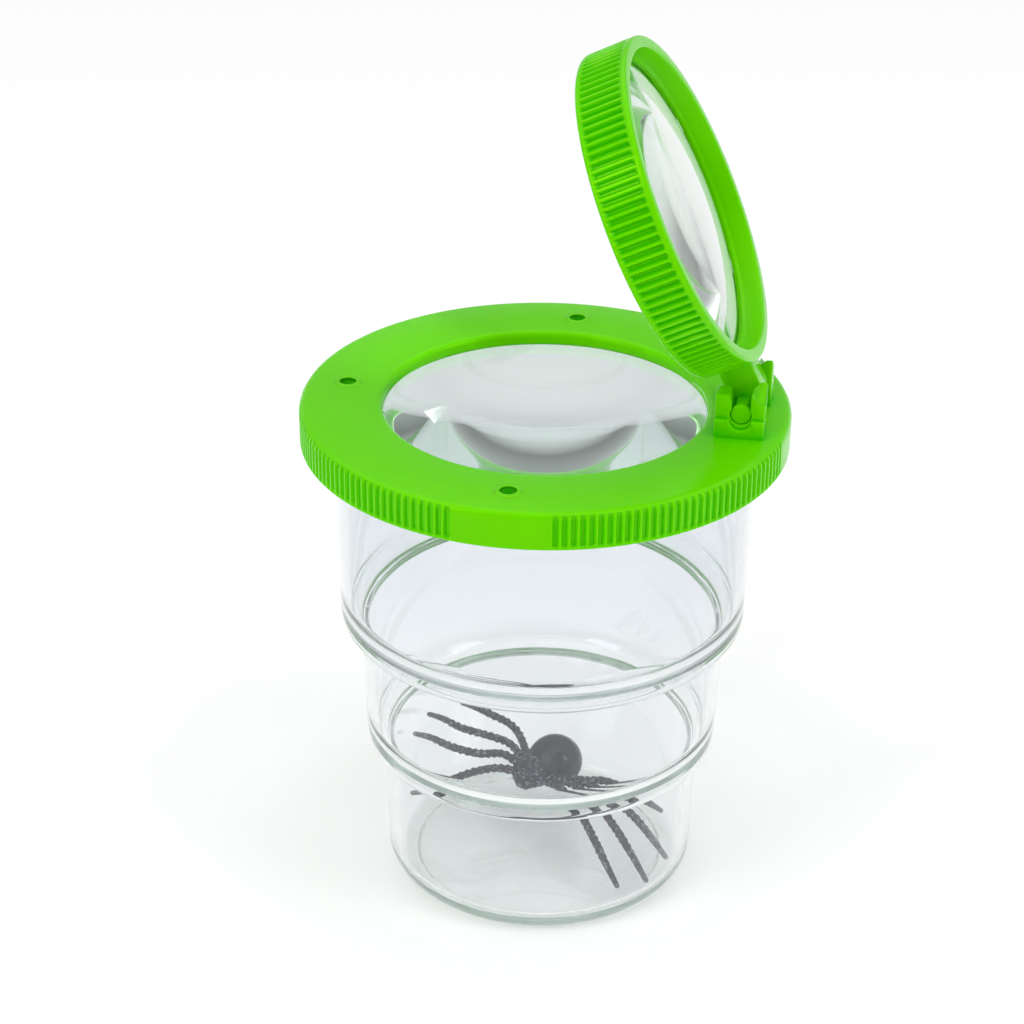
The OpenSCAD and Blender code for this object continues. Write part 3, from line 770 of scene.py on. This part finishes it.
def make_clip(side):
    """One hinge clip: its cheeks and the end wall beside them, and the clip's place."""
    wall_y = CLIP_IN_Y + CHEEK_W
    bm = solid(clip_outline(), CLIP_IN_Y, wall_y + CLIP_LAP, CLIP_EDGE)
    for v in bm.verts:
        # The outer cheek's top slopes down towards the clip's end
        share = max(v.co.z - INNER_CHEEK_UP, 0) / (OUTER_CHEEK_UP - INNER_CHEEK_UP)
        v.co.z -= share * CHEEK_FALL * (v.co.y - CLIP_IN_Y) / CHEEK_W
    join(bm, solid(end_wall_outline(), wall_y, wall_y + END_WALL_T, END_WALL_EDGE))
    place = Matrix.Translation((HINGE_X, 0, HINGE_Z)) @ Matrix.Diagonal((1, side, 1, 1))
    return bm, place


def make_lid(material):
    """The lid: its turned shell is drilled first, and then gets the rims and the clips."""
    piece = finish_piece("green_lid", make_lid_shell(), "lid", "lid_ring", material)
    drilled = drill_vents(piece)
    bm = bmesh.new()
    bm.from_mesh(drilled)
    bmesh.ops.scale(bm, vec=(1 / MM, 1 / MM, 1 / MM), verts=bm.verts)
    for angle in VENT_ANGLES:
        a = math.radians(angle)
        place = Matrix.Translation((VENT_AT_R * math.cos(a), VENT_AT_R * math.sin(a), LID_TOP_Z))
        join(bm, vent_rim(), place)
    for side in (1, -1):
        join(bm, *make_clip(side))
    to_metres(bm)
    bm.to_mesh(piece.data)
    bm.free()
    bpy.data.meshes.remove(drilled)


def make_lid_lens(material):
    low_edge = LID_Z - LID_LENS_EDGE_T
    top_r = OPENING_R - LENS_GAP
    low_r = LID_LENS_R - LID_LENS_MARGIN
    points = [(r, LID_Z + z) for r, z in dome(top_r, LID_LENS_TOP_SAG)]
    points += [(LID_LENS_R - LENS_BEVEL, LID_Z - LENS_BEVEL_DROP), (LID_LENS_R, LID_Z - LENS_BEVEL),
               (LID_LENS_R, low_edge + LENS_BEVEL), (LID_LENS_R - LENS_BEVEL, low_edge)]
    points += [(r, low_edge - z) for r, z in reversed(dome(low_r, LID_LENS_LOW_SAG))]
    bm = turned(points, LENS_STEPS, closed=False)
    finish_piece("lid_magnifier", bm, "lid", "lid_lens", material, LENS_SHARP_ANGLE)


# Flip ring


def flipped():
    """Place of a piece drawn with the flip ring closed and the hinge axis at the origin."""
    return (Matrix.Translation((HINGE_X, 0, HINGE_Z))
            @ Matrix.Rotation(math.radians(OPEN_ANGLE), 4, "Y"))


def ring_angle(step):
    """Angle of a spun step of the flip ring, and where it lies between two groove crests."""
    group = RING_GROOVES * GROOVE_STEPS
    plain = 360 - RING_GROOVES * RING_GROOVE_PITCH
    if step < group:
        angle = plain / 2 + step / GROOVE_STEPS * RING_GROOVE_PITCH
        return math.radians(angle), step % GROOVE_STEPS / GROOVE_STEPS
    return math.radians(360 - plain / 2 + (step - group) / RING_PLAIN_STEPS * plain), 0


def ring_groove_depth(radius, z, phase):
    """How deep the ring's side is cut at a height and a phase between two crests."""
    if radius < RING_R - RING_GROOVE_BAND:
        return 0
    wave = smooth_step(*RING_FLANK_SHARES, 0.5 - 0.5 * math.cos(math.tau * phase))
    low, high = -RING_DROP + RING_LIP_LOW, RING_H - RING_DROP - RING_LIP_TOP
    foot = smooth_step(low, low + RING_GROOVE_RUN_OUT, z)
    head = 1 - smooth_step(high - RING_GROOVE_RUN_OUT, high, z)
    return RING_GROOVE_D * wave * (foot * head)


def make_ring_body():
    """The flip ring without its lug, closed, with the hinge axis at the origin."""
    low, high = -RING_DROP, RING_H - RING_DROP
    seat_r = RING_R - RING_WALL - RING_DRAFT
    shelf_z = SHELF_T - RING_DROP
    lens_z = shelf_z + RING_LENS_EDGE_T
    first, last = low + RING_LIP_LOW, high - RING_LIP_TOP
    corners = [
        (seat_r - SHELF_W, low, RING_LOW_IN_ROUND),
        (RING_R, low, RING_LOW_ROUND),
        *[(RING_R, first + row, 0) for row in (0, RING_ROW, RING_GROOVE_RUN_OUT)],
        *[(RING_R, last - row, 0) for row in (RING_GROOVE_RUN_OUT, RING_ROW, 0)],
        (RING_R, high, RING_TOP_ROUND),
        (RING_R - RING_WALL, high, RING_TOP_IN_ROUND),
        (seat_r, lens_z + 2 * RING_BEAD_H, BEAD_ROUND),
        (seat_r - RING_BEAD_REACH, lens_z + RING_BEAD_H, BEAD_BACK_ROUND),
        (seat_r - RING_BEAD_REACH, lens_z + LENS_GAP, 0),
        (seat_r, lens_z + LENS_GAP, 0),
        (seat_r, shelf_z, 0),
        (seat_r - SHELF_W, shelf_z, SHELF_ROUND),
    ]
    steps = RING_GROOVES * GROOVE_STEPS + RING_PLAIN_STEPS
    bm = turned(rounded(corners, parts=4), steps, closed=True)
    cut_grooves(bm, steps, ring_angle, ring_groove_depth)
    bmesh.ops.translate(bm, vec=(-ARM, 0, 0), verts=bm.verts)
    return bm


def lug_outline():
    """Lug of the flip ring with the ring closed, seen along the hinge axis."""
    root = RING_R - ARM - LUG_LAP
    round_end = [(LUG_R * math.cos(a), LUG_R * math.sin(a))
                 for a in [math.radians(d) for d in range(*LUG_ARC, LUG_ARC_STEP)]]
    return ([(root, LUG_UP), (root, -RING_DROP), (-LUG_SET - LUG_LOW_SET, -RING_DROP)]
            + round_end
            + [(-LUG_SET + LUG_TOP_SET, LUG_UP)])


def make_pin(side):
    """Flat neck and round head of one hinge pin, along y from the lug, and the pin's side.
    The neck stands upright in its clip while the ring is open as in the photograph."""
    head_y = HEAD_END_Y - PIN_HEAD_W
    bm = bmesh.new()
    turn = Matrix.Rotation(-math.radians(OPEN_ANGLE), 4, "Y")
    bmesh.ops.create_cube(bm, size=1, matrix=turn @ Matrix.Diagonal((NECK_T, 1, NECK_H, 1)))
    for v in bm.verts:
        v.co.y = LUG_HALF_W - NECK_ROOT if v.co.y < 0 else head_y + NECK_LAP
    bmesh.ops.bevel(bm, geom=list(bm.edges), offset=NECK_EDGE, segments=2, profile=0.5, material=-1,
                    affect="EDGES")
    head = rounded([(0, 0, 0), (PIN_R, 0, PIN_ROOT_ROUND), (PIN_R, PIN_HEAD_W, PIN_END_ROUND),
                    (0, PIN_HEAD_W, 0)], parts=4)
    join(bm, turned(head, PIN_STEPS, closed=False),
         Matrix.Translation((0, head_y, 0)) @ Matrix.Rotation(-math.pi / 2, 4, "X"))
    return bm, Matrix.Diagonal((1, side, 1, 1))


def make_flip_ring(material):
    bm = make_ring_body()
    join(bm, solid(lug_outline(), -LUG_HALF_W, LUG_HALF_W, LUG_EDGE))
    for side in (1, -1):
        join(bm, *make_pin(side))
    bmesh.ops.transform(bm, matrix=flipped(), verts=bm.verts)
    finish_piece("green_flip_ring", bm, "flip", "flip_ring", material)


def make_flip_lens(material):
    shelf_z = SHELF_T - RING_DROP
    radius = RING_R - RING_WALL - RING_DRAFT - RING_LENS_GAP
    top_z = shelf_z + RING_LENS_EDGE_T
    points = [(r, top_z + z) for r, z in dome(radius - RING_LENS_MARGIN, RING_LENS_TOP_SAG)]
    points += [(radius - LENS_BEVEL, top_z), (radius, top_z - LENS_BEVEL),
               (radius, shelf_z + LENS_BEVEL), (radius - LENS_BEVEL, shelf_z)]
    low_face = dome(radius - SHELF_W - LENS_GAP, RING_LENS_LOW_SAG)
    points += [(r, shelf_z - z) for r, z in reversed(low_face)]
    bm = turned(points, LENS_STEPS, closed=False)
    bmesh.ops.transform(bm, matrix=flipped() @ Matrix.Translation((-ARM, 0, 0)), verts=bm.verts)
    finish_piece("flip_magnifier", bm, "flip", "flip_lens", material, LENS_SHARP_ANGLE)


# Spider


def in_foot(share):
    """A point given in shares of the room inside the jar's foot."""
    return Vector((share[0] * ROOM_R, share[1] * ROOM_R, FLOOR_T + share[2] * ROOM_H))


def leg_route(shares):
    """Smooth curve through a leg's points."""
    points = [in_foot(s) for s in shares]
    last = len(points) - 1
    route = []
    for i in range(last):
        a, b = points[max(i - 1, 0)], points[i]
        c, d = points[i + 1], points[min(i + 2, last)]
        for k in range(LEG_PARTS):
            t = k / LEG_PARTS
            route.append((2 * b + (c - a) * t + (2 * a - 5 * b + 4 * c - d) * t * t
                          + (3 * b - a - 3 * c + d) * t ** 3) / 2)
    return route + [points[last]]


def make_leg(shares):
    """A leg swept along its route: knobbly like plaited cord, with a smooth thin foot."""
    route = leg_route(shares)
    bm = bmesh.new()
    bmesh.ops.create_circle(bm, segments=LEG_SIDES, radius=1, cap_ends=True)
    ring = list(bm.verts)
    ring.sort(key=lambda v: math.atan2(v.co.y, v.co.x))
    length = 0
    total = sum((b - a).length for a, b in zip(route, route[1:]))
    for i, here in enumerate(route):
        if i:
            length += (here - route[i - 1]).length
            edges = [e for e in bm.edges if e.verts[0] in ring and e.verts[1] in ring]
            grown = bmesh.ops.extrude_edge_only(bm, edges=edges)["geom"]
            fresh = [g for g in grown if isinstance(g, bmesh.types.BMVert)]
            ring = [min(fresh, key=lambda f: (f.co - v.co).length) for v in ring]
        along = (route[min(i + 1, len(route) - 1)] - route[max(i - 1, 0)]).normalized()
        side = along.cross(Vector((0, 0, 1))).normalized()
        up = side.cross(along)
        share = length / total
        thick = (LEG_R - LEG_ROOT_LOSS * smooth_step(*LEG_ROOT_SHARES, share)
                 - LEG_FOOT_LOSS * smooth_step(*LEG_FOOT_SHARES, share))
        twist = (STRAND_SHARE * (1 - smooth_step(*STRAND_FOOT_SHARES, share))
                 * smooth_step(*STRAND_ROOT_SHARES, share))
        # The tip is round, with a small flat end
        past = max(LEG_TIP - total + length, 0)
        thick *= math.sqrt(max(1 - past ** 2 / (LEG_TIP ** 2 + LEG_TIP_END), 0))
        for k, v in enumerate(ring):
            a = math.tau * k / LEG_SIDES
            # Two strands one way and three the other way, like plaited cord
            strands = math.cos(2 * a + math.tau * length / STRAND_PITCH)
            cross = math.cos(3 * a - math.tau * length / CROSS_STRAND_PITCH)
            wave = (1 - CROSS_STRAND_WEIGHT) * strands + CROSS_STRAND_WEIGHT * cross
            radius = thick * (1 - twist / 2 + twist * wave)
            v.co = here + radius * (math.cos(a) * side + math.sin(a) * up)
    rim = [e for e in bm.edges if e.verts[0] in ring and e.verts[1] in ring]
    bmesh.ops.contextual_create(bm, geom=rim)
    bmesh.ops.recalc_face_normals(bm, faces=bm.faces)
    return bm


def make_ball(centre, size, lump, pitch):
    """A ball with shallow lumps over it, one about every pitch millimetres."""
    bm = bmesh.new()
    bmesh.ops.create_icosphere(bm, subdivisions=5, radius=1)
    for v in bm.verts:
        way = v.co.normalized()
        p = Vector((way.x * size[0], way.y * size[1], way.z * size[2]))
        q = p * math.tau / pitch
        wave = math.prod(math.sin(q[k] * LUMP_STRETCH[k] + LUMP_PHASES[k]) for k in range(3))
        v.co = centre + p + way * lump * wave
    return bm


def make_spider(material):
    abdomen_size = (ABDOMEN_R, ABDOMEN_R, ABDOMEN_R * ABDOMEN_FLAT_SHARE)
    bm = make_ball(in_foot(ABDOMEN_SHARE), abdomen_size, *ABDOMEN_LUMPS)
    join(bm, make_ball(in_foot(CHEST_SHARE), (CHEST_R, CHEST_R, CHEST_R), *CHEST_LUMPS))
    join(bm, make_ball(in_foot(HEAD_SHARE), (HEAD_R, HEAD_R, HEAD_R), *HEAD_LUMPS))
    for shares in LEG_SHARES:
        join(bm, make_leg(shares))
    finish_piece("rubber_spider", bm, "spider", "toy_spider", material,
                 RUBBER_SHARP_ANGLE)


# Studio


def make_floor():
    """Plain pale floor, just under the jar's base."""
    bm = bmesh.new()
    bmesh.ops.create_grid(bm, x_segments=1, y_segments=1, size=FLOOR_HALF,
                          matrix=Matrix.Translation((0, 0, -FLOOR_DROP)))
    mesh = bpy.data.meshes.new("floor")
    bm.to_mesh(mesh)
    bm.free()
    floor = bpy.data.objects.new("floor", mesh)
    bpy.context.scene.collection.objects.link(floor)
    m = new_material("white studio paper")
    shader = add_node(m, "ShaderNodeBsdfPrincipled",
                      sockets={"Base Color": linear("#FAFAFA"), "Roughness": 0.9,
                               "Specular IOR Level": 0.1})
    mesh.materials.append(close_material(m, shader))


def make_light(name, place, side, power):
    """A square soft box that faces the jar."""
    light = bpy.data.lights.new(name, "AREA")
    light.shape = "RECTANGLE"
    light.size = side
    light.size_y = side
    light.energy = power
    lamp = bpy.data.objects.new(name, light)
    lamp.location = place
    lamp.rotation_mode = "QUATERNION"
    lamp.rotation_quaternion = (Vector(LIGHT_TARGET) - Vector(place)).to_track_quat("-Z", "Y")
    bpy.context.scene.collection.objects.link(lamp)


def make_studio():
    make_floor()
    for light in LIGHTS:
        make_light(*light)
    world = bpy.data.worlds.new("studio")
    world.use_nodes = True
    way = add_node(world, "ShaderNodeTexCoord").outputs["Generated"]
    parts = add_node(world, "ShaderNodeSeparateXYZ", links={"Vector": way})
    sky = add_node(world, "ShaderNodeValToRGB", links={"Fac": parts.outputs["Z"]})
    ramp = sky.color_ramp.elements
    # A new ramp has an element at each end
    for k, (height, share) in enumerate(SKY_SHARES):
        stop = ramp[k] if k < 2 else ramp.new(height)
        stop.color = (share, share, share, 1)
    power = add_node(world, "ShaderNodeMath", settings={"operation": "MULTIPLY"},
                     sockets={1: SKY_POWER}, links={0: sky.outputs[0]})
    background = world.node_tree.nodes["Background"]
    background.inputs["Color"].default_value = linear("#FFFFFF")
    world.node_tree.links.new(power.outputs[0], background.inputs["Strength"])
    bpy.context.scene.world = world
    bpy.context.scene.view_settings.view_transform = "Standard"
    cycles = bpy.context.scene.cycles
    cycles.max_bounces = LIGHT_BOUNCES
    cycles.transmission_bounces = LIGHT_BOUNCES
    cycles.glossy_bounces = LIGHT_BOUNCES
    cycles.blur_glossy = 0


def make_camera():
    """Camera at the photograph's viewing angle, worked out from the jar's round edges."""
    azimuth = math.radians(CAMERA_AZIMUTH)
    elevation = math.radians(CAMERA_ELEVATION)
    roll = math.radians(CAMERA_ROLL)
    back = Vector((math.sin(azimuth) * math.cos(elevation), -math.cos(azimuth) * math.cos(elevation),
                   math.sin(elevation)))
    right = Vector((math.cos(azimuth), math.sin(azimuth), 0))
    target = right * CAMERA_TARGET_RIGHT + Vector((0, 0, CAMERA_TARGET_UP))
    camera = bpy.data.cameras.new("camera")
    camera.sensor_width = CAMERA_SENSOR
    camera.lens = CAMERA_LENS
    camera.clip_start = 0.01
    camera.clip_end = 20
    up = back.cross(right)
    right_rolled = right * math.cos(roll) + up * math.sin(roll)
    up_rolled = up * math.cos(roll) - right * math.sin(roll)
    place = Matrix((right_rolled, up_rolled, back)).transposed().to_4x4()
    place.translation = target + back * CAMERA_DISTANCE
    holder = bpy.data.objects.new("camera", camera)
    holder.matrix_world = place
    bpy.context.scene.collection.objects.link(holder)
    bpy.context.scene.camera = holder


# The jar's tint is clearer at the foot as painted light, and smokier at the mouth
clear = clear_plastic("clear polystyrene jar", "#FDFDFF", "#EAEDF1", "#DDECE8", 0.1)
lens_clear = clear_plastic("clear polystyrene lens", "#F0F4F1", "#F0F4F1", "#E4F2EC", 0.0)
lid_green = green_plastic("green polypropylene lid", LID_TOP_Z, LID_SCATTER)
ring_green = green_plastic("green polypropylene ring", NO_GRAIN_Z, RING_SCATTER)

make_jar(clear)
make_lid(lid_green)
make_lid_lens(lens_clear)
make_flip_ring(ring_green)
make_flip_lens(lens_clear)
make_spider(black_rubber())
make_studio()
make_camera()
